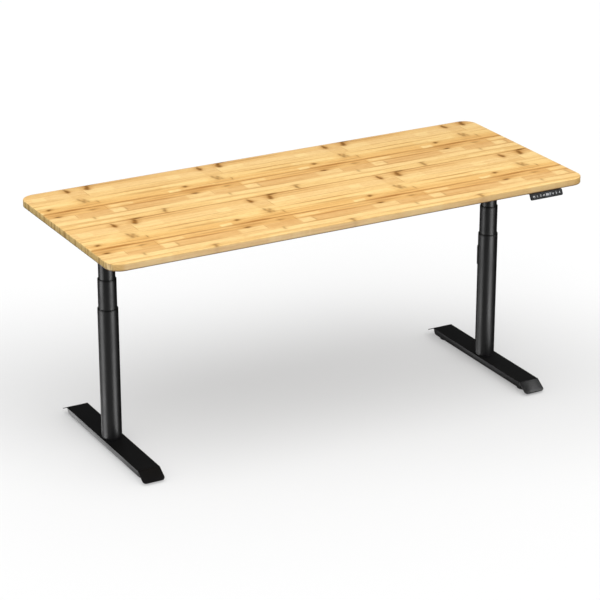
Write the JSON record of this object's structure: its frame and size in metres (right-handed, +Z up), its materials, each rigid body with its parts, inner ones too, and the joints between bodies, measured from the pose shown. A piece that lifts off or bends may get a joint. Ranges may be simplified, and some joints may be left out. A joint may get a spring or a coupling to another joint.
{
  "type": "height adjustable standing desk",
  "caption": "Rectangular wooden desktop on motor-driven telescoping round columns with long flat feet, a control box underneath and a push-button handset at the front edge.",
  "frame": {"origin": "on the floor, at the middle of the whole desk's outline", "axes": "+X to the sitter's right along the desktop, +Y away from the sitter, +Z up"},
  "size_m": [1.8, 0.764, 0.8072],
  "materials": {
    "wood_top": "satin lacquered solid wood strips, honey yellow",
    "frame_steel": "fine-textured black powder coat on steel",
    "black_plastic": "moulded black plastic",
    "glide_plastic": "natural white glide plastic",
    "screw_steel": "bright turned steel, lightly greased",
    "cast_alloy": "cast aluminium, bead blasted",
    "motor_steel": "zinc plated steel can",
    "pad_rubber": "black rubber-faced pad",
    "fastener_steel": "black oxide screws",
    "circuit_board": "green circuit board",
    "cable_rubber": "black cable sheath",
    "handset_plastic": "fine-grained black plastic",
    "handset_gloss": "smoked gloss panel",
    "key_plastic": "satin black keys with pale symbols"
  },
  "bodies": {
    "base": {"left_foot": "frame_steel", "left_outer_tube": "frame_steel", "left_outer_collar": "black_plastic", "left_base_nut_tube": "screw_steel", "right_foot": "frame_steel", "right_outer_tube": "frame_steel", "right_outer_collar": "black_plastic", "right_base_nut_tube": "screw_steel", "foot_screws": "fastener_steel", "leg_cable_guide": "black_plastic"},
    "top": {"desktop": "wood_top", "left_side_bracket": "frame_steel", "right_side_bracket": "frame_steel", "front_rail": "frame_steel", "rear_rail": "frame_steel", "frame_screws": "fastener_steel", "desktop_screws": "fastener_steel", "control_box": "black_plastic", "control_board": "circuit_board", "power_inlet": "black_plastic", "left_motor_cable": "cable_rubber", "right_motor_cable": "cable_rubber", "handset_cable": "cable_rubber", "cable_clips": "black_plastic", "handset_case": "handset_plastic", "handset_face": "handset_gloss", "handset_board": "circuit_board", "left_inner_tube": "frame_steel", "left_inner_glide": "glide_plastic", "left_screw_bearing": "screw_steel", "left_gearbox": "cast_alloy", "left_motor": "motor_steel", "right_inner_tube": "frame_steel", "right_inner_glide": "glide_plastic", "right_screw_bearing": "screw_steel", "right_gearbox": "cast_alloy", "right_motor": "motor_steel"},
    "left_middle": {"left_middle_tube": "frame_steel", "left_middle_collar": "black_plastic", "left_middle_glide": "glide_plastic", "left_middle_nut_tube": "screw_steel"},
    "left_lower_screw": {"left_lower_screw": "screw_steel"},
    "left_upper_screw": {"left_upper_screw": "screw_steel"},
    "left_front_leveller": {"left_front_leveller": "pad_rubber"},
    "left_rear_leveller": {"left_rear_leveller": "pad_rubber"},
    "right_middle": {"right_middle_tube": "frame_steel", "right_middle_collar": "black_plastic", "right_middle_glide": "glide_plastic", "right_middle_nut_tube": "screw_steel"},
    "right_lower_screw": {"right_lower_screw": "screw_steel"},
    "right_upper_screw": {"right_upper_screw": "screw_steel"},
    "right_front_leveller": {"right_front_leveller": "pad_rubber"},
    "right_rear_leveller": {"right_rear_leveller": "pad_rubber"},
    "memory_key": {"memory_key": "key_plastic"},
    "preset_1_key": {"preset_1_key": "key_plastic"},
    "preset_2_key": {"preset_2_key": "key_plastic"},
    "up_key": {"up_key": "key_plastic"},
    "down_key": {"down_key": "key_plastic"},
    "preset_3_key": {"preset_3_key": "key_plastic"},
    "preset_4_key": {"preset_4_key": "key_plastic"}
  },
  "joints": [
    {"name": "desk_lift", "type": "slide", "parent": "base", "child": "top", "axis": [0, 0, 1], "range_m": [-0.2, 0.45]},
    {"name": "left_middle_slide", "type": "slide", "parent": "base", "child": "left_middle", "axis": [0, 0, 1], "range_m": [-0.1, 0.225]},
    {"name": "left_upper_screw_turn", "type": "hinge", "parent": "top", "child": "left_upper_screw", "pos_m": [-0.75, 0.007, 0.4], "axis": [0, 0, 1], "range_deg": [-4500, 10125]},
    {"name": "left_lower_screw_turn", "type": "hinge", "parent": "left_middle", "child": "left_lower_screw", "pos_m": [-0.75, 0.007, 0.4], "axis": [0, 0, 1], "range_deg": [-4500, 10125]},
    {"name": "left_front_leveller_slide", "type": "slide", "parent": "base", "child": "left_front_leveller", "axis": [0, 0, 1], "range_m": [-0.01, 0.002]},
    {"name": "left_rear_leveller_slide", "type": "slide", "parent": "base", "child": "left_rear_leveller", "axis": [0, 0, 1], "range_m": [-0.01, 0.002]},
    {"name": "right_middle_slide", "type": "slide", "parent": "base", "child": "right_middle", "axis": [0, 0, 1], "range_m": [-0.1, 0.225]},
    {"name": "right_upper_screw_turn", "type": "hinge", "parent": "top", "child": "right_upper_screw", "pos_m": [0.75, 0.007, 0.4], "axis": [0, 0, 1], "range_deg": [-4500, 10125]},
    {"name": "right_lower_screw_turn", "type": "hinge", "parent": "right_middle", "child": "right_lower_screw", "pos_m": [0.75, 0.007, 0.4], "axis": [0, 0, 1], "range_deg": [-4500, 10125]},
    {"name": "right_front_leveller_slide", "type": "slide", "parent": "base", "child": "right_front_leveller", "axis": [0, 0, 1], "range_m": [-0.01, 0.002]},
    {"name": "right_rear_leveller_slide", "type": "slide", "parent": "base", "child": "right_rear_leveller", "axis": [0, 0, 1], "range_m": [-0.01, 0.002]},
    {"name": "memory_key_press", "type": "slide", "parent": "top", "child": "memory_key", "axis": [0, 0.8797, -0.4755], "range_m": [0, 0.0007], "stiffness_N_per_m": 800, "springref_m": -0.0005},
    {"name": "preset_1_key_press", "type": "slide", "parent": "top", "child": "preset_1_key", "axis": [0, 0.8797, -0.4755], "range_m": [0, 0.0007], "stiffness_N_per_m": 800, "springref_m": -0.0005},
    {"name": "preset_2_key_press", "type": "slide", "parent": "top", "child": "preset_2_key", "axis": [0, 0.8797, -0.4755], "range_m": [0, 0.0007], "stiffness_N_per_m": 800, "springref_m": -0.0005},
    {"name": "up_key_press", "type": "slide", "parent": "top", "child": "up_key", "axis": [0, 0.8797, -0.4755], "range_m": [0, 0.0007], "stiffness_N_per_m": 800, "springref_m": -0.0005},
    {"name": "down_key_press", "type": "slide", "parent": "top", "child": "down_key", "axis": [0, 0.8797, -0.4755], "range_m": [0, 0.0007], "stiffness_N_per_m": 800, "springref_m": -0.0005},
    {"name": "preset_3_key_press", "type": "slide", "parent": "top", "child": "preset_3_key", "axis": [0, 0.8797, -0.4755], "range_m": [0, 0.0007], "stiffness_N_per_m": 800, "springref_m": -0.0005},
    {"name": "preset_4_key_press", "type": "slide", "parent": "top", "child": "preset_4_key", "axis": [0, 0.8797, -0.4755], "range_m": [0, 0.0007], "stiffness_N_per_m": 800, "springref_m": -0.0005}
  ],
  "couplings": [
    {"joint": "left_middle_slide", "follows": "desk_lift", "ratio": 0.5},
    {"joint": "left_upper_screw_turn", "follows": "desk_lift", "rad_per_m": 392.7},
    {"joint": "left_lower_screw_turn", "follows": "desk_lift", "rad_per_m": 392.7},
    {"joint": "right_middle_slide", "follows": "desk_lift", "ratio": 0.5},
    {"joint": "right_upper_screw_turn", "follows": "desk_lift", "rad_per_m": 392.7},
    {"joint": "right_lower_screw_turn", "follows": "desk_lift", "rad_per_m": 392.7}
  ]
}
